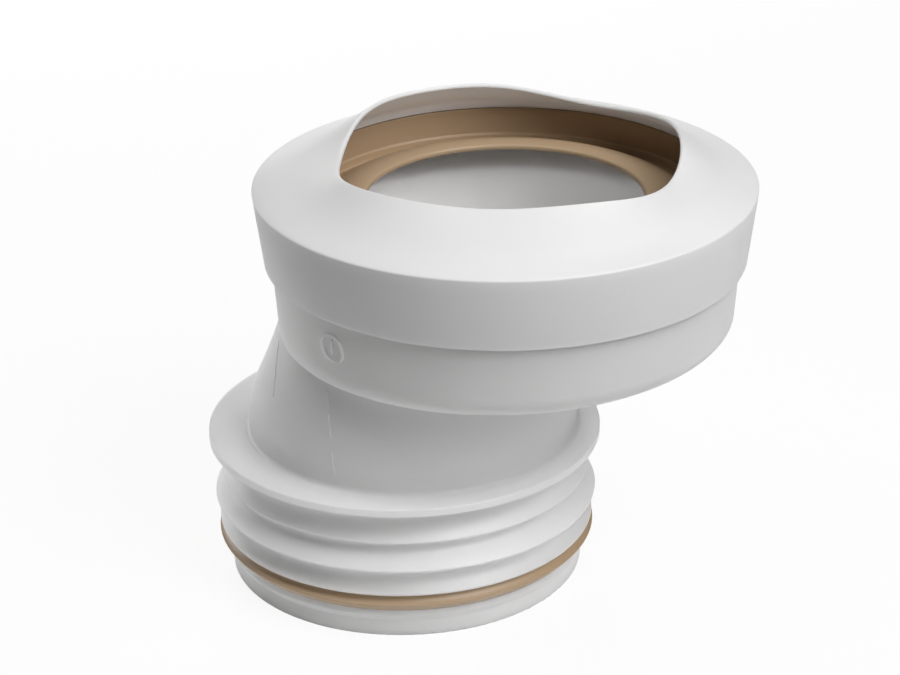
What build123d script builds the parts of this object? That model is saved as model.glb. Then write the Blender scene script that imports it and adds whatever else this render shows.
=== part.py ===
"""Offset pan connector: joins a toilet pan's outlet to a soil pipe that is off to one side.

It stands on the end of its spigot. The spigot axis is Z, with the origin at the centre of the
spigot's end face, and the socket is stepped sideways along +X. All sizes are in millimetres.
"""

import os
from math import cos, radians, sin

from build123d import *

# Layout of the rigid body
axis_offset = 30.0  # sideways step from the spigot axis to the socket axis
wall = 3.2  # moulded wall of the neck and the socket

# Spigot that enters the soil pipe, built up from its end
end_diameter = 102.8  # plain end
end_wall = 3.6
end_height = 8.8  # end face to the ring seal's groove
end_round = 0.5  # rounding of the leading edge
end_lip_reach = 1.1  # lip under the ring seal, out from the plain end
end_lip_height = 1.9
end_lip_round = 1.0
groove_depth = 1.6  # root of the ring seal's groove, in from the plain end
groove_height = 5.7
rib_reaches = (3.1, 4.1, 2.0)  # moulded ribs, out from the plain end, the lowest first
rib_pitch = 7.9
rib_land = 0.9  # height of each rib's nose
rib_nose = 0.25  # how far the nose is rounded out
cove_depth = 2.4  # hollow between ribs, measured in from the smaller rib
cove_share = 0.36  # how far down the hollow its deepest point lies
cove_foot_slope = (-1, 1)  # direction of the hollow where it leaves the lower rib
cove_head_slope = (1, 0.15)  # direction of the hollow where it meets the upper rib
flange_gap = 10.3  # top rib to the underside of the stop flange
flange_reach = 5.6  # stop flange, out from the plain end
flange_thickness = 2.2
flange_round = 0.4

# Neck that leans from the spigot over to the socket
neck_inset = 3.6  # outside of the neck, in from the plain end
neck_rise = 32.5  # stop flange to the underside of the socket
neck_stub = 8.0  # upright part above the stop flange
neck_start = 3.0  # centre of the upright part, off the spigot axis
neck_shift = 12.4  # centre of the neck at the underside of the socket, off the spigot axis
neck_root_round = 1.1

# Socket, the wide cup above the neck
socket_foot_diameter = 129.0  # outside, its flared band run down to its underside
corner_height = 6.0  # rounding of its lower edge
corner_width = 4.5  # width of that rounding, at the sides
corner_shift = 4.2  # how much wider it gets on the far side, and narrower over the neck
corner_turns = (90.0, 67.5, 45.0, 22.5, 0.0)  # round sections of that rounding, from the underside up
band_height = 22.4  # underside to the lower edge of the hood

# Hood, the soft cover that is pushed over the socket
skirt_foot_diameter = 136.4
skirt_height = 21.0
skirt_wall = 1.9
rim_diameter = 141.8
rim_round = 0.9
ledge_drop = 2.2  # rim down to the ledge that bears on the seal's flange
ledge_width = 2.2
hood_clearance = 0.15

# Mouth of the hood: a wavy edge, given every 30 degrees round the socket axis
mouth_turn = 9.0  # angle of the first point, from +X
mouth_radii = (48.8, 49.8, 47.8, 47.4, 47.4, 45.6, 45.5, 48.8, 47.5, 46.2, 49.8, 49.3)
mouth_rises = (12.2, 10.6, 8.7, 12.3, 13.4, 13.1, 7.6, 10.0, 11.2, 10.8, 11.3, 8.0)  # above the rim
lip_thickness = 1.3  # upright thickness of the mouth's edge
waist_inset = 11.4  # ring where the hollow cone is measured, in from the rim
waist_rise = 4.5
waist_thickness = 2.0

# Pan seal, hung from the socket's edge and clamped by the hood
seal_flange = 1.5
seal_wall = 2.5
seal_gap = 1.9  # foot of the seal's upright wall to the inside of the socket
seal_crown = 0.2  # top of that wall, above the rim
seal_step_drop = 7.6  # rim down to the small step in the wall
seal_step = 0.5
seal_depth = 10.6  # rim down to the bottom of the trough behind the lip
trough_width = 2.4
web = 1.6  # thickness of the flexible web
web_lip_slope = (1, 0)  # direction of the web where it leaves the lip
web_trough_slope = (1, -1)  # direction of the web where it reaches the trough
lip_diameter = 78.5  # opening that grips the pan's outlet
lip_drop = 3.9  # rim down to the top of the sealing lip
lip_width = 3.4
lip_height = 1.7
lip_round = 0.6  # rounding of the lip's upper edge
clamp_step = 0.3  # inside of the hood's clamping step, out from the seal's wall

# Ring seal near the spigot's end
ring_clearance = 0.1
ring_reach = 3.6  # sharp sealing edge, out from the plain end
ring_edge_height = 2.9  # sealing edge above the bottom of the groove
ring_edge_land = 0.3  # thickness of the sealing edge
ring_crown_reach = 1.6  # top of the flared face, out from the plain end
ring_foot_reach = 1.3  # foot of the undercut below the sealing edge, out from the plain end
ring_crown_slope = (0, -1)  # direction of the flared face at its top
ring_edge_slope = (1, -0.35)  # direction of the flared face at the sealing edge

# Raised mould mark on the socket's band
mark_angle = 232.0  # round the socket axis, from +X
mark_drop = 9.1  # lower edge of the hood down to the mark's centre
mark_diameter = 9.0
mark_line = 0.7
mark_bar = 4.4  # length of the upright bar
mark_bar_rise = 0.5  # middle of the bar above the mark's centre
mark_relief = 0.45

# Heights along the spigot
groove_top = end_height + groove_height
rib_heights = [groove_top + index * rib_pitch for index in range(len(rib_reaches))]
flange_underside = rib_heights[-1] + flange_gap
flange_top = flange_underside + flange_thickness

# Radii of the spigot and the neck
end_radius = end_diameter / 2
end_lip_radius = end_radius + end_lip_reach
groove_radius = end_radius - groove_depth
spigot_bore_radius = end_radius - end_wall
flange_radius = end_radius + flange_reach
neck_radius = end_radius - neck_inset
neck_bore_radius = neck_radius - wall

# Heights along the socket
socket_underside = flange_top + neck_rise
socket_floor = socket_underside + wall
skirt_foot = socket_underside + band_height
rim = skirt_foot + skirt_height
ledge = rim - ledge_drop
socket_edge = ledge - seal_flange

# Radii of the socket and the hood, which share one flare above the skirt's lower edge
skirt_flare = (rim_diameter - skirt_foot_diameter) / 2 / skirt_height


def skirt_inside(height):
    """Inside radius of the hood's skirt at a height."""
    return skirt_foot_diameter / 2 - skirt_wall + skirt_flare * (height - skirt_foot)


band_top_radius = skirt_inside(skirt_foot) - hood_clearance
band_flare = (band_top_radius - socket_foot_diameter / 2) / band_height
corner_top = socket_underside + corner_height
corner_top_radius = socket_foot_diameter / 2 + band_flare * corner_height
socket_edge_radius = skirt_inside(socket_edge) - hood_clearance
seal_foot = rim - seal_depth - web
seal_outer_radius = skirt_inside(seal_foot) - hood_clearance - wall - seal_gap
seal_bore_radius = seal_outer_radius - seal_wall
socket_axis = Axis((axis_offset, 0, 0), (0, 0, 1))
socket_plane = Plane((axis_offset, 0, 0), x_dir=(1, 0, 0), z_dir=(0, -1, 0))

# Heights and centres of the neck's round sections: upright at first, then leaning into the socket
neck_top = socket_floor + corner_height
neck_lean = (neck_shift - neck_start) / (neck_rise - neck_stub)
neck_sections = (
    (flange_top, neck_start),
    (flange_top + neck_stub, neck_start),
    (flange_top + (neck_stub + neck_rise) / 2, (neck_start + neck_shift) / 2),
    (socket_underside, neck_shift),
    (neck_top, neck_shift + neck_lean * (neck_top - socket_underside)),
)

# Body: one rigid moulding with the spigot, the leaning neck and the socket
with BuildPart() as body:
    # Spigot with its lip, groove, ribs and stop flange
    lip_edge = end_height - end_lip_height
    lip_foot = lip_edge - end_lip_height
    edge_radii = [end_radius + reach for reach in (*rib_reaches, flange_reach)]
    edge_heights = [*rib_heights, flange_underside]
    with BuildSketch(Plane.XZ) as spigot_section:
        with BuildLine():
            Polyline(
                (0, 0),
                (end_radius, 0),
                (end_radius, lip_foot),
                (end_lip_radius, lip_edge),
                (end_lip_radius, end_height),
                (groove_radius, end_height),
                (groove_radius, groove_top),
                (edge_radii[0], groove_top),
            )
            for index in range(len(rib_reaches)):
                lower = edge_radii[index]
                upper = edge_radii[index + 1]
                foot = edge_heights[index] + rib_land
                head = edge_heights[index + 1]
                ThreePointArc(
                    (lower, edge_heights[index]),
                    (lower + rib_nose, foot - rib_land / 2),
                    (lower, foot),
                )
                Spline(
                    (lower, foot),
                    (min(lower, upper) - cove_depth, head - cove_share * (head - foot)),
                    (upper, head),
                    tangents=[cove_foot_slope, cove_head_slope],
                )
            Polyline(
                (flange_radius, flange_underside),
                (flange_radius, flange_top),
                (0, flange_top),
                (0, 0),
            )
        make_face()
        flange_corner = spigot_section.vertices().group_by(Axis.Y)[-1].sort_by(Axis.X)[-1]
        fillet(flange_corner, flange_round)
        end_corner = spigot_section.vertices().group_by(Axis.Y)[0].sort_by(Axis.X)[-1]
        fillet(end_corner, end_round)
        lip_corners = spigot_section.vertices().filter_by_position(Axis.Y, lip_foot, lip_edge)
        fillet(lip_corners, end_lip_round)
    revolve(axis=Axis.Z)

    # Socket with a flared band, and a lower edge that is rounded off most on the far side
    for turn in corner_turns:
        inset = 1 - cos(radians(turn))
        drop = corner_height * sin(radians(turn))
        with BuildSketch(Plane.XY.offset(corner_top - drop)):
            with Locations((axis_offset - corner_shift * inset, 0)):
                Circle(corner_top_radius - band_flare * drop - corner_width * inset)
    loft()
    with BuildSketch(socket_plane):
        with BuildLine():
            Polyline(
                (0, corner_top),
                (corner_top_radius, corner_top),
                (band_top_radius, skirt_foot),
                (socket_edge_radius, socket_edge),
                (0, socket_edge),
                close=True,
            )
        make_face()
    revolve(axis=socket_axis)

    # Leaning neck, run up into the socket's wall
    for height, centre in neck_sections:
        with BuildSketch(Plane.XY.offset(height)):
            with Locations((centre, 0)):
                Circle(neck_radius)
    loft()
    flange_edges = body.edges().filter_by_position(Axis.Z, flange_top, flange_top)
    fillet(flange_edges.sort_by(SortBy.LENGTH)[0], neck_root_round)

    # Inside of the socket, a wall's thickness in from the outside
    with BuildSketch(socket_plane):
        with BuildLine():
            Polyline(
                (0, socket_floor),
                (socket_foot_diameter / 2 - wall, socket_floor),
                (band_top_radius - wall, skirt_foot),
                (socket_edge_radius - wall, socket_edge),
                (0, socket_edge),
                close=True,
            )
        make_face()
    revolve(axis=socket_axis, mode=Mode.SUBTRACT)

    # Waterway: the spigot's bore, a shoulder under the flange and the neck's bore
    shoulder = flange_underside - (spigot_bore_radius - neck_bore_radius)
    with BuildSketch():
        Circle(spigot_bore_radius)
    extrude(amount=shoulder, mode=Mode.SUBTRACT)
    with BuildSketch(Plane.XY.offset(shoulder)):
        Circle(spigot_bore_radius)
    with BuildSketch(Plane.XY.offset(flange_underside)):
        with Locations((neck_start, 0)):
            Circle(neck_bore_radius)
    loft(mode=Mode.SUBTRACT)
    for height, centre in ((flange_underside, neck_start), *neck_sections):
        with BuildSketch(Plane.XY.offset(height)):
            with Locations((centre, 0)):
                Circle(neck_bore_radius)
    loft(mode=Mode.SUBTRACT)

    # Raised round mould mark with an upright bar, standing on the band
    mark_depth = band_top_radius - band_flare * mark_drop - wall / 2
    mark_out = Vector(cos(radians(mark_angle)), sin(radians(mark_angle)), 0)
    mark_across = Vector(-mark_out.Y, mark_out.X, 0)
    mark_origin = Vector(axis_offset, 0, skirt_foot - mark_drop) + mark_out * mark_depth
    mark_plane = Plane(mark_origin, x_dir=mark_across, z_dir=mark_out - Vector(0, 0, band_flare))
    with BuildSketch(mark_plane):
        Circle(mark_diameter / 2)
        Circle(mark_diameter / 2 - mark_line, mode=Mode.SUBTRACT)
        with Locations((0, mark_bar_rise)):
            SlotOverall(mark_bar, mark_line, rotation=90)
    extrude(amount=wall / 2 + mark_relief)

body.part.label = "body"

# Hood: soft cover with a flared skirt and a cone that ends in a thin wavy mouth
hood_seam = (cos(radians(mouth_turn)), sin(radians(mouth_turn)), 0)


def hood_ring(radius, height):
    """Circle round the socket axis that starts on the hood's seam."""
    return Edge.make_circle(radius, Plane((axis_offset, 0, height), x_dir=hood_seam))


def mouth_edge(drop):
    """Closed wavy edge of the mouth, lowered by a drop."""
    points = []
    for index, (radius, rise) in enumerate(zip(mouth_radii, mouth_rises)):
        turn = radians(mouth_turn + 360 * index / len(mouth_radii))
        points.append((axis_offset + radius * cos(turn), radius * sin(turn), rim + rise - drop))
    return Edge.make_spline(points, periodic=True)


waist_radius = rim_diameter / 2 - waist_inset
skirt_foot_ring = hood_ring(skirt_foot_diameter / 2, skirt_foot)
rim_ring = hood_ring(rim_diameter / 2, rim)
waist_ring = hood_ring(waist_radius, rim + waist_rise)
mouth_top = mouth_edge(0)
mouth_under = mouth_edge(lip_thickness)
waist_under = hood_ring(waist_radius, rim + waist_rise - waist_thickness)
clamp_ring = hood_ring(seal_bore_radius + clamp_step, rim + seal_crown + hood_clearance)
ledge_ring = hood_ring(skirt_inside(ledge) - ledge_width, ledge)
corner_ring = hood_ring(skirt_inside(ledge), ledge)
skirt_inner_ring = hood_ring(skirt_inside(skirt_foot), skirt_foot)
hood_faces = [
    Face.make_surface_from_curves(skirt_foot_ring, rim_ring),
    *Shell.make_loft([Wire([ring]) for ring in (rim_ring, waist_ring, mouth_top)]).faces(),
    Face.make_surface_from_curves(mouth_top, mouth_under),
    Face.make_surface_from_curves(mouth_under, waist_under),
    Face.make_surface_from_curves(waist_under, clamp_ring),
    Face.make_surface_from_curves(clamp_ring, ledge_ring),
    Face.make_surface_from_curves(ledge_ring, corner_ring),
    Face.make_surface_from_curves(corner_ring, skirt_inner_ring),
    Face.make_surface_from_curves(skirt_inner_ring, skirt_foot_ring),
]
with BuildPart() as socket_hood:
    add(Solid(Shell(hood_faces)))
    rim_edge = socket_hood.edges().filter_by(GeomType.CIRCLE).sort_by(SortBy.RADIUS)[-1]
    fillet(rim_edge, rim_round)
socket_hood.part.label = "socket_hood"

# Pan seal: hanging wall, trough and web that ends in the sealing lip
with BuildPart() as pan_seal:
    lip_radius = lip_diameter / 2
    lip_root_radius = lip_radius + lip_width
    lip_top = rim - lip_drop
    lip_underside = lip_top - lip_height
    trough = rim - seal_depth
    trough_radius = seal_bore_radius - trough_width
    step_radius = seal_bore_radius - seal_step
    step_height = rim - seal_step_drop
    with BuildSketch(socket_plane) as seal_section:
        with BuildLine():
            Polyline(
                (lip_root_radius, lip_top),
                (lip_radius, lip_top),
                (lip_radius, lip_underside),
                (lip_root_radius, lip_underside),
            )
            Spline(
                (lip_root_radius, lip_underside),
                (trough_radius, seal_foot),
                tangents=[web_lip_slope, web_trough_slope],
            )
            Polyline(
                (trough_radius, seal_foot),
                (seal_outer_radius, seal_foot),
                (seal_outer_radius, socket_edge),
                (socket_edge_radius, socket_edge),
                (socket_edge_radius, ledge),
                (skirt_inside(ledge) - ledge_width, ledge),
                (seal_bore_radius, rim + seal_crown),
                (seal_bore_radius, step_height),
                (step_radius, step_height - seal_step),
                (step_radius, trough),
                (trough_radius, trough),
            )
            Spline(
                (lip_root_radius, lip_top),
                (trough_radius, trough),
                tangents=[web_lip_slope, web_trough_slope],
            )
        make_face()
        lip_corner = seal_section.vertices().group_by(Axis.X)[0].sort_by(Axis.Y)[-1]
        fillet(lip_corner, lip_round)
    revolve(axis=socket_axis)
pan_seal.part.label = "pan_seal"

# Ring seal: a band in the spigot's groove with a hollow face that flares to a sharp lower edge
with BuildPart() as spigot_seal:
    root_radius = groove_radius + ring_clearance
    crown_radius = end_radius + ring_crown_reach
    ring_radius = end_radius + ring_reach
    ring_foot = end_height + ring_clearance
    ring_top = groove_top - ring_clearance
    ring_edge = end_height + ring_edge_height
    with BuildSketch(Plane.XZ):
        with BuildLine():
            Spline(
                (crown_radius, ring_top),
                (ring_radius, ring_edge),
                tangents=[ring_crown_slope, ring_edge_slope],
            )
            Polyline(
                (ring_radius, ring_edge),
                (ring_radius, ring_edge - ring_edge_land),
                (end_radius + ring_foot_reach, ring_foot),
                (root_radius, ring_foot),
                (root_radius, ring_top),
                (crown_radius, ring_top),
            )
        make_face()
    revolve(axis=Axis.Z)
spigot_seal.part.label = "spigot_seal"

os.makedirs("parts", exist_ok=True)
for piece in (body, socket_hood, pan_seal, spigot_seal):
    export_step(piece.part, f"parts/{piece.part.label}.step")
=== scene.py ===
import math

import bmesh
import bpy
import numpy as np
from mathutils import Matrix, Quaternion, Vector


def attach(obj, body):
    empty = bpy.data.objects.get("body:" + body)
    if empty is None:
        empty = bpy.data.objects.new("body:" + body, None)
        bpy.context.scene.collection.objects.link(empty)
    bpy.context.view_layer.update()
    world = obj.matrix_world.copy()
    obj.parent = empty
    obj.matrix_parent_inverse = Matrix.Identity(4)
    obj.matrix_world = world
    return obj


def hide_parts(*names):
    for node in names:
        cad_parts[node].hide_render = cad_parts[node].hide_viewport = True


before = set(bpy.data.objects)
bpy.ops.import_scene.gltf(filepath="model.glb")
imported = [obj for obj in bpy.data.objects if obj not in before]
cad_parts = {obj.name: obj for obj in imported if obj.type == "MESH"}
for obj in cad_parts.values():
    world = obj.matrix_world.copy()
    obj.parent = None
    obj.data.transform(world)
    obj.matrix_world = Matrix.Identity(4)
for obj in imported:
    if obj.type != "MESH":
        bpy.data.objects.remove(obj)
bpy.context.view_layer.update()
bpy.ops.object.select_all(action="DESELECT")
scene = bpy.context.scene

# Body
# One rigid white moulding: ribbed spigot, leaning neck and wide socket. It is injection moulded
# polypropylene with a satin skin, a little uneven where the thick wall has cooled.


def moulded_skin(name, colour, shade, roughness, grain_size, grain_height, wave_height):
    """Moulded plastic or rubber: slow changes of tone and gloss, fine grain and shallow waves."""
    cloud_size, patch_size, wave_size = 0.045, 0.012, 0.03
    gloss_spread = 0.05
    material = bpy.data.materials.new(name)
    material.use_nodes = True
    nodes = material.node_tree.nodes
    links = material.node_tree.links
    skin = nodes["Principled BSDF"]
    place = nodes.new("ShaderNodeTexCoord")

    def noise(size, detail):
        texture = nodes.new("ShaderNodeTexNoise")
        texture.inputs["Scale"].default_value = 1 / size
        texture.inputs["Detail"].default_value = detail
        links.new(place.outputs["Object"], texture.inputs["Vector"])
        return texture

    cloud = noise(cloud_size, 2)
    tone = nodes.new("ShaderNodeMix")
    tone.data_type = "RGBA"
    tone.inputs["A"].default_value = (*colour, 1)
    tone.inputs["B"].default_value = (*shade, 1)
    links.new(cloud.outputs["Fac"], tone.inputs["Factor"])
    links.new(tone.outputs["Result"], skin.inputs["Base Color"])

    patch = noise(patch_size, 4)
    gloss = nodes.new("ShaderNodeMapRange")
    gloss.inputs["From Min"].default_value = 0.3
    gloss.inputs["From Max"].default_value = 0.7
    gloss.inputs["To Min"].default_value = roughness - gloss_spread
    gloss.inputs["To Max"].default_value = roughness + gloss_spread
    links.new(patch.outputs["Fac"], gloss.inputs["Value"])
    links.new(gloss.outputs["Result"], skin.inputs["Roughness"])

    waves = nodes.new("ShaderNodeBump")
    waves.inputs["Strength"].default_value = 1
    waves.inputs["Distance"].default_value = wave_height
    links.new(noise(wave_size, 1).outputs["Fac"], waves.inputs["Height"])
    grain = nodes.new("ShaderNodeBump")
    grain.inputs["Strength"].default_value = 1
    grain.inputs["Distance"].default_value = grain_height
    links.new(noise(grain_size, 3).outputs["Fac"], grain.inputs["Height"])
    links.new(waves.outputs["Normal"], grain.inputs["Normal"])
    links.new(grain.outputs["Normal"], skin.inputs["Normal"])
    return material


def dress(node, material):
    """Give a CAD node its finish."""
    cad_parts[node].data.materials.clear()
    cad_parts[node].data.materials.append(material)


def let_light_in(material, weight, depth):
    """Let some light scatter through a thin pale wall."""
    skin = material.node_tree.nodes["Principled BSDF"]
    skin.inputs["Subsurface Weight"].default_value = weight
    skin.inputs["Subsurface Radius"].default_value = (1, 1, 1)
    skin.inputs["Subsurface Scale"].default_value = depth


body_skin = moulded_skin(
    "satin_polypropylene",
    colour=(0.88, 0.88, 0.88),
    shade=(0.86, 0.865, 0.86),
    roughness=0.42,
    grain_size=0.0012,
    grain_height=0.000012,
    wave_height=0.00010,
)
let_light_in(body_skin, weight=0.5, depth=0.016)
dress("body", body_skin)

# Mould lines
# Thin raised lines on the neck, left where the parts of the mould met, cut from the body's skin and
# thickened. Their plastic is painted lighter than the body's, a painted glow for the light that
# scatters through the body's wall. A run has its place, lean, foot and head, in metres.
line_width = 0.0004
line_height = 0.00008
line_merge = 0.000001
neck_front = -0.010
mould_runs = (
    (-0.0329, 0, 0.0610, 0.0738),
    (-0.0122, -0.093, 0.0465, 0.0535),
    (-0.0132, -0.093, 0.0575, 0.0640),
    (-0.0139, -0.093, 0.0655, 0.0707),
)
mould_lines = []
for line_x, line_lean, line_foot, line_head in mould_runs:
    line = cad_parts["body"].copy()
    line.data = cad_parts["body"].data.copy()
    scene.collection.objects.link(line)
    bpy.context.view_layer.objects.active = line
    line.select_set(True)
    bpy.ops.object.mode_set(mode="EDIT")
    cuts = (
        ((line_x - line_width / 2, 0, line_foot), (-1, 0, line_lean)),
        ((line_x + line_width / 2, 0, line_foot), (1, 0, -line_lean)),
        ((0, 0, line_foot), (0, 0, -1)),
        ((0, 0, line_head), (0, 0, 1)),
        ((0, neck_front, 0), (0, 1, 0)),
    )
    bpy.ops.mesh.select_all(action="SELECT")
    bpy.ops.mesh.remove_doubles(threshold=line_merge)
    for cut_place, cut_side in cuts:
        bpy.ops.mesh.select_all(action="SELECT")
        bpy.ops.mesh.bisect(plane_co=cut_place, plane_no=cut_side, clear_outer=True)
    bpy.ops.mesh.select_all(action="DESELECT")
    strip = bmesh.from_edit_mesh(line.data)
    for face in strip.faces:
        face.select_set(face.normal.y > 0)
    bmesh.update_edit_mesh(line.data)
    bpy.ops.mesh.delete(type="FACE")
    bpy.ops.object.mode_set(mode="OBJECT")
    thick = line.modifiers.new("thick", "SOLIDIFY")
    thick.thickness = 2 * line_height
    thick.offset = 0
    bpy.ops.object.modifier_apply(modifier=thick.name)
    mould_lines.append(line)
    line.select_set(False)
for line in mould_lines:
    line.select_set(True)
bpy.context.view_layer.objects.active = mould_lines[0]
bpy.ops.object.join()
neck_lines = bpy.context.object
neck_lines.name = "neck_mould_lines"
neck_lines.data.materials.clear()
# Painted glow: the lines' plastic is lighter than the body's, standing in for the light that
# scatters through the body's wall.
neck_lines.data.materials.append(moulded_skin(
    "line_polypropylene_painted_glow",
    colour=(0.95, 0.95, 0.95),
    shade=(0.93, 0.935, 0.93),
    roughness=0.42,
    grain_size=0.0012,
    grain_height=0.000012,
    wave_height=0.00010,
))
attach(neck_lines, "root")
bpy.ops.object.select_all(action="DESELECT")

# Ring seal
# A tan elastomer ring, stretched into the spigot's groove. Its flared edge wipes the bore of the
# pipe, so it stands out past the groove and comes to a thin lip.
ring_sides = 240
ring_merge = 0.000002
smooth_angle = math.radians(50)


def soft_curve(start, start_handle, finish_handle, finish, steps):
    """Points of a smooth curve between two ends, without its last end."""
    points = []
    for step in range(steps):
        t = step / steps
        radius, height = (
            a * (1 - t) ** 3 + 3 * b * t * (1 - t) ** 2 + 3 * c * t * t * (1 - t) + d * t ** 3
            for a, b, c, d in zip(start, start_handle, finish_handle, finish)
        )
        points.append((radius, height, 0))
    return points


def spin_soft_ring(name, outline_mm, centre_x):
    """Spin a closed outline of radius, height and corner rounding, in millimetres, to a ring."""
    outline = []
    for index, (radius, height, rounding) in enumerate(outline_mm):
        corner = Vector((radius, height))
        before = Vector(outline_mm[index - 1][:2])
        after = Vector(outline_mm[(index + 1) % len(outline_mm)][:2])
        if rounding == 0:
            outline.append(corner)
            continue
        start = corner + (before - corner).normalized() * rounding
        finish = corner + (after - corner).normalized() * rounding
        for t in (0, 0.25, 0.5, 0.75, 1):
            outline.append(start * (1 - t) ** 2 + corner * 2 * t * (1 - t) + finish * t * t)
    bpy.ops.mesh.primitive_circle_add(vertices=len(outline), radius=0.01)
    ring = bpy.context.object
    ring.name = name
    for vertex, point in zip(ring.data.vertices, outline):
        vertex.co = (centre_x + point.x / 1000, 0, point.y / 1000)
    bpy.ops.object.mode_set(mode="EDIT")
    bpy.ops.mesh.select_all(action="SELECT")
    bpy.ops.mesh.spin(
        steps=ring_sides, angle=2 * math.pi, center=(centre_x, 0, 0), axis=(0, 0, 1)
    )
    bpy.ops.mesh.select_all(action="SELECT")
    bpy.ops.mesh.remove_doubles(threshold=ring_merge)
    bpy.ops.mesh.normals_make_consistent(inside=False)
    bpy.ops.object.mode_set(mode="OBJECT")
    bpy.ops.object.shade_smooth_by_angle(angle=smooth_angle)
    return ring


seal_skin = moulded_skin(
    "tan_elastomer",
    colour=(0.465, 0.335, 0.21),
    shade=(0.435, 0.31, 0.192),
    roughness=0.42,
    grain_size=0.0008,
    grain_height=0.000015,
    wave_height=0.00006,
)
ring_seal = spin_soft_ring("ring_seal", [
    *soft_curve((53.0, 14.4), (53.0, 13.3), (53.95, 12.05), (55.0, 11.7), 8),
    (55.0, 11.7, 0.12),
    (55.0, 11.4, 0.12),
    (52.7, 8.9, 0.3),
    (49.9, 8.9, 0.3),
    (49.9, 14.4, 0.3),
], centre_x=0)
ring_seal.data.materials.append(seal_skin)
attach(ring_seal, "root")
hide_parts("spigot_seal")
bpy.ops.object.select_all(action="DESELECT")

# Pan seal
# The same tan elastomer, moulded as a sleeve. Its flange lies on the socket's edge under the hood,
# its wall hangs inside, and a thin web carries the rounded lip that grips the pan's outlet.
socket_x = 0.030
pan_sleeve = spin_soft_ring("pan_sleeve", [
    (39.25, 114.8, 0.9),
    (39.25, 113.1, 0.6),
    *soft_curve((42.65, 113.1), (48.0, 113.1), (53.5, 110.28), (57.28, 106.5), 12),
    (57.28, 106.5, 0),
    (62.18, 106.5, 0.6),
    (62.18, 115.0, 0),
    (68.37, 115.0, 0.3),
    (68.37, 116.5, 0.3),
    (66.52, 116.5, 0),
    (59.68, 118.9, 0.4),
    (59.68, 111.1, 0.15),
    (59.18, 110.6, 0.15),
    (59.18, 108.1, 0.8),
    *reversed(soft_curve((42.65, 114.8), (48.0, 114.8), (53.5, 111.9), (57.28, 108.1), 12)),
], centre_x=socket_x)
pan_sleeve.data.materials.append(seal_skin)
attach(pan_sleeve, "root")
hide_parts("pan_seal")
bpy.ops.object.select_all(action="DESELECT")

# Hood
# A soft white cover of flexible plastic, pushed over the socket so that its inner ledge clamps the
# pan seal. Its thin mouth has sprung into waves.
hood_sides = 240
rim_radius, rim_height = 70.9, 118.7
waist_inset, waist_rise = 11.4, 4.5
lip_crest = 0.97
mouth_start = math.radians(9)
mouth_radii = (48.8, 49.8, 47.8, 47.4, 47.4, 45.6, 45.5, 48.8, 47.5, 46.2, 49.8, 49.3)
mouth_rises = (12.2, 10.6, 8.7, 12.3, 13.4, 13.1, 7.6, 10.0, 11.2, 10.8, 11.3, 8.0)
mouth_count = len(mouth_radii)
mouth_turns = [mouth_start + 2 * math.pi * index / mouth_count for index in range(mouth_count)]


def closed_curve(values):
    """Values of a smooth closed curve through evenly spaced values, one for each hood side."""
    count = len(values)
    given = np.array(values)
    same = np.eye(count)
    links = 4 * same + np.roll(same, 1, axis=0) + np.roll(same, -1, axis=0)
    bends = np.linalg.solve(links, np.roll(given, -1) - 2 * given + np.roll(given, 1))
    curve = []
    for side in range(hood_sides):
        place = side * count / hood_sides
        first = int(place)
        second = (first + 1) % count
        t = place - first
        value = given[first] * (1 - t) + given[second] * t
        value += bends[first] * ((1 - t) ** 3 - (1 - t)) + bends[second] * (t ** 3 - t)
        curve.append(value)
    return curve


mouth_x = closed_curve([radius * math.cos(turn) for radius, turn in zip(mouth_radii, mouth_turns)])
mouth_y = closed_curve([radius * math.sin(turn) for radius, turn in zip(mouth_radii, mouth_turns)])
mouth_z = closed_curve(mouth_rises)


def even_ring(radius, height):
    """Round ring of the hood, in millimetres."""
    ring = []
    for x, y in zip(mouth_x, mouth_y):
        stretch = radius / math.hypot(x, y)
        ring.append((socket_x + x * stretch / 1000, y * stretch / 1000, height / 1000))
    return ring


def cone_ring(share, drop):
    """Ring on the hollow cone, a share of the way from the rim to the mouth, lowered by a drop.

    Past the lip's crest the cone rises no further, so that the mouth's edge rolls over.
    """
    climb = min(share, lip_crest)
    ring = []
    for x, y, rise in zip(mouth_x, mouth_y, mouth_z):
        mouth_radius = math.hypot(x, y)
        waist = waist_inset / (rim_radius - mouth_radius)
        hollow = (rise - waist_rise / waist) / (1 - waist)
        height = rim_height + climb * (rise - hollow + hollow * climb) - drop
        stretch = (rim_radius + (mouth_radius - rim_radius) * share) / mouth_radius
        ring.append((socket_x + x * stretch / 1000, y * stretch / 1000, height / 1000))
    return ring


cone_shares = (0.04, 0.1, 0.2, 0.3, 0.4, 0.5, 0.6, 0.7, 0.8, 0.88, 0.94, lip_crest)
inner_shares = (0.9, 0.8, 0.7, 0.62)
inner_turn = 0.985
mouth_wall = 1.3
wall_growth = 1.5
hood_rings = [
    even_ring(67.95, 97.7),
    even_ring(68.15, 97.78),
    even_ring(68.22, 98.0),
    even_ring(69.5, 107.8),
    even_ring(70.84, 118.18),
    even_ring(70.84, 118.42),
    even_ring(70.74, 118.60),
    even_ring(70.56, 118.74),
    *[cone_ring(share, 0) for share in cone_shares],
    cone_ring(0.982, 0.10),
    cone_ring(0.991, 0.30),
    cone_ring(0.998, 0.60),
    cone_ring(1, 0.85),
    cone_ring(0.998, 1.1),
    cone_ring(inner_turn, mouth_wall),
    *[cone_ring(share, mouth_wall + wall_growth * (inner_turn - share)) for share in inner_shares],
    even_ring(59.5, 121.2),
    even_ring(59.98, 119.05),
    even_ring(60.2, 118.95),
    even_ring(66.4, 116.58),
    even_ring(66.7, 116.5),
    even_ring(68.72, 116.5),
    even_ring(66.32, 97.85),
    even_ring(66.5, 97.7),
    even_ring(67.95, 97.7),
]


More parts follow.
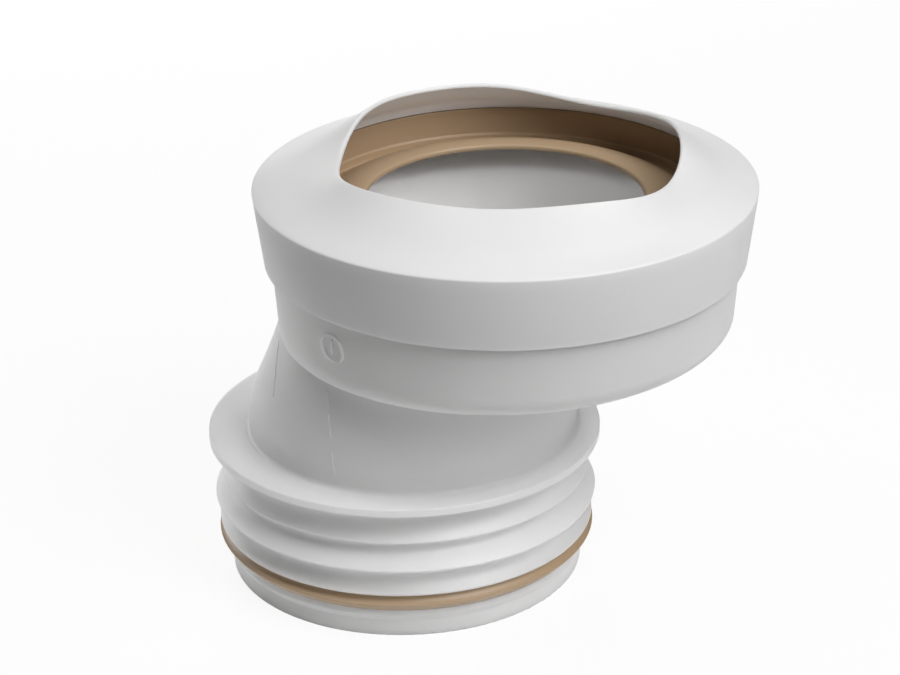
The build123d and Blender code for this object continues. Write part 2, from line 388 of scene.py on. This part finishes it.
def round_the_axis(vertex):
    """Angle of a vertex round the hood's axis, counted from just before the first side."""
    turn = math.atan2(vertex.co.y, vertex.co.x - socket_x) - mouth_start + math.pi / hood_sides
    return turn % (2 * math.pi)


bpy.ops.mesh.primitive_circle_add(vertices=hood_sides, radius=0.068, location=(socket_x, 0, 0.0977))
hood = bpy.context.object
hood.name = "hood"
bpy.ops.object.transform_apply(location=True, rotation=True, scale=True)
bpy.ops.object.mode_set(mode="EDIT")
bpy.ops.mesh.select_all(action="SELECT")
for number, ring in enumerate(hood_rings):
    if number > 0:
        bpy.ops.mesh.extrude_region_move()
    shell = bmesh.from_edit_mesh(hood.data)
    drawn = sorted((vertex for vertex in shell.verts if vertex.select), key=round_the_axis)
    for vertex, place in zip(drawn, ring):
        vertex.co = place
    bmesh.update_edit_mesh(hood.data)
bpy.ops.mesh.select_all(action="SELECT")
bpy.ops.mesh.remove_doubles(threshold=ring_merge)
bpy.ops.mesh.normals_make_consistent(inside=False)
bpy.ops.object.mode_set(mode="OBJECT")
bpy.ops.object.shade_smooth_by_angle(angle=smooth_angle)
hood_skin = moulded_skin(
    "soft_white",
    colour=(0.88, 0.88, 0.88),
    shade=(0.86, 0.86, 0.86),
    roughness=0.48,
    grain_size=0.0009,
    grain_height=0.000014,
    wave_height=0.00012,
)
let_light_in(hood_skin, weight=0.25, depth=0.008)
hood.data.materials.append(hood_skin)
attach(hood, "root")
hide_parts("socket_hood")
bpy.ops.object.select_all(action="DESELECT")

# Floor
# A white card on a grey bench, lit from above. The camera sees both as white paper, with a soft
# trace of the shadow left on it.
floor_size = 6
card_white = (0.88, 0.88, 0.88, 1)
bench_grey = (0.2, 0.2, 0.2, 1)
card_radius, bench_radius = 0.14, 0.30
seen_white = 0.9
bpy.ops.mesh.primitive_plane_add(size=floor_size)
floor = bpy.context.object
floor.name = "floor"
paper = bpy.data.materials.new("white_paper")
paper.use_nodes = True
paper_nodes = paper.node_tree.nodes
paper_links = paper.node_tree.links
card = paper_nodes["Principled BSDF"]
card.inputs["Roughness"].default_value = 0.9
card_place = paper_nodes.new("ShaderNodeTexCoord")
card_reach = paper_nodes.new("ShaderNodeVectorMath")
card_reach.operation = "LENGTH"
card_edge = paper_nodes.new("ShaderNodeMapRange")
card_edge.interpolation_type = "SMOOTHSTEP"
card_edge.inputs["From Min"].default_value = card_radius
card_edge.inputs["From Max"].default_value = bench_radius
card_edge.inputs["To Min"].default_value = 1
card_edge.inputs["To Max"].default_value = 0
bench = paper_nodes.new("ShaderNodeMix")
bench.data_type = "RGBA"
bench.inputs["A"].default_value = bench_grey
bench.inputs["B"].default_value = card_white
seen = paper_nodes.new("ShaderNodeLightPath")
seen_shiny = paper_nodes.new("ShaderNodeMath")
seen_shiny.operation = "MAXIMUM"
seen_through = paper_nodes.new("ShaderNodeMath")
seen_through.operation = "MAXIMUM"
seen_card = paper_nodes.new("ShaderNodeMix")
seen_card.data_type = "RGBA"
seen_card.inputs["B"].default_value = card_white
paper_white = paper_nodes.new("ShaderNodeEmission")
paper_white.inputs["Strength"].default_value = 1
white_share = paper_nodes.new("ShaderNodeMath")
white_share.operation = "MULTIPLY"
white_share.inputs[1].default_value = seen_white
blend = paper_nodes.new("ShaderNodeMixShader")
paper_links.new(card_place.outputs["Object"], card_reach.inputs[0])
paper_links.new(card_reach.outputs["Value"], card_edge.inputs["Value"])
paper_links.new(card_edge.outputs["Result"], bench.inputs["Factor"])
paper_links.new(seen.outputs["Is Camera Ray"], seen_shiny.inputs[0])
paper_links.new(seen.outputs["Is Glossy Ray"], seen_shiny.inputs[1])
paper_links.new(seen_shiny.outputs["Value"], seen_through.inputs[0])
paper_links.new(seen.outputs["Is Transmission Ray"], seen_through.inputs[1])
paper_links.new(seen_through.outputs["Value"], seen_card.inputs["Factor"])
paper_links.new(bench.outputs["Result"], seen_card.inputs["A"])
paper_links.new(seen_card.outputs["Result"], card.inputs["Base Color"])
paper_links.new(seen_through.outputs["Value"], white_share.inputs[0])
paper_links.new(white_share.outputs["Value"], blend.inputs["Fac"])
paper_links.new(card.outputs["BSDF"], blend.inputs[1])
paper_links.new(paper_white.outputs["Emission"], blend.inputs[2])
paper_links.new(blend.outputs["Shader"], paper_nodes["Material Output"].inputs["Surface"])
floor.data.materials.append(paper)

# Studio light
# A big soft box to the right of the camera, weaker ones to the left and overhead, and a dim white
# room. A low one behind shines through the thin walls, and is kept out of reflections so that it
# leaves no glare on the hood.
room_strength = 0.015
lamp_white = (1, 1, 1)
world = bpy.data.worlds.new("studio")
scene.world = world
world.use_nodes = True
room = world.node_tree.nodes["Background"]
room.inputs["Color"].default_value = (1, 1, 1, 1)
room.inputs["Strength"].default_value = room_strength
target = Vector((0.02, 0, 0.07))
lamp_distance = 1.2


def soft_box(name, azimuth, elevation, size, power, colour):
    """Square area lamp that looks at the part. Azimuth 0 is in front, 90 to the right."""
    lamp = bpy.data.lights.new(name, "AREA")
    lamp.shape = "SQUARE"
    lamp.size = size
    lamp.energy = power
    lamp.color = colour
    stand = bpy.data.objects.new(name, lamp)
    scene.collection.objects.link(stand)
    turn = math.radians(azimuth)
    lift = math.radians(elevation)
    out = Vector((
        math.sin(turn) * math.cos(lift),
        -math.cos(turn) * math.cos(lift),
        math.sin(lift),
    ))
    stand.location = target + out * lamp_distance
    stand.rotation_mode = "QUATERNION"
    stand.rotation_quaternion = (-out).to_track_quat("-Z", "Y")
    return stand


soft_box("key", azimuth=54, elevation=46, size=0.8, power=12.5, colour=(1, 0.995, 1))
back_box = soft_box("back", azimuth=197, elevation=6, size=0.4, power=13, colour=lamp_white)
back_box.visible_glossy = False
soft_box("left", azimuth=240, elevation=5, size=0.6, power=4.6, colour=lamp_white)
soft_box("overhead", azimuth=290, elevation=76, size=0.8, power=4.4, colour=lamp_white)
scene.view_settings.view_transform = "Standard"

# Camera
# A long lens a little above the rim, slightly round to the offset side, as the photograph was
# taken. The view is a little rolled.
camera_aim = Vector((0.01352, 0.00192, 0.06889))
camera_distance = 0.83306
camera_azimuth = math.radians(8.85)
camera_elevation = math.radians(24.41)
camera_roll = math.radians(-0.84)
camera_back = Vector((
    math.sin(camera_azimuth) * math.cos(camera_elevation),
    -math.cos(camera_azimuth) * math.cos(camera_elevation),
    math.sin(camera_elevation),
))
camera_data = bpy.data.cameras.new("camera")
camera_data.sensor_width = 36
camera_data.lens = 115.6
camera = bpy.data.objects.new("camera", camera_data)
scene.collection.objects.link(camera)
camera.location = camera_aim + camera_back * camera_distance
camera.rotation_mode = "QUATERNION"
level = (-camera_back).to_track_quat("-Z", "Y")
camera.rotation_quaternion = level @ Quaternion((0, 0, 1), camera_roll)
scene.camera = camera
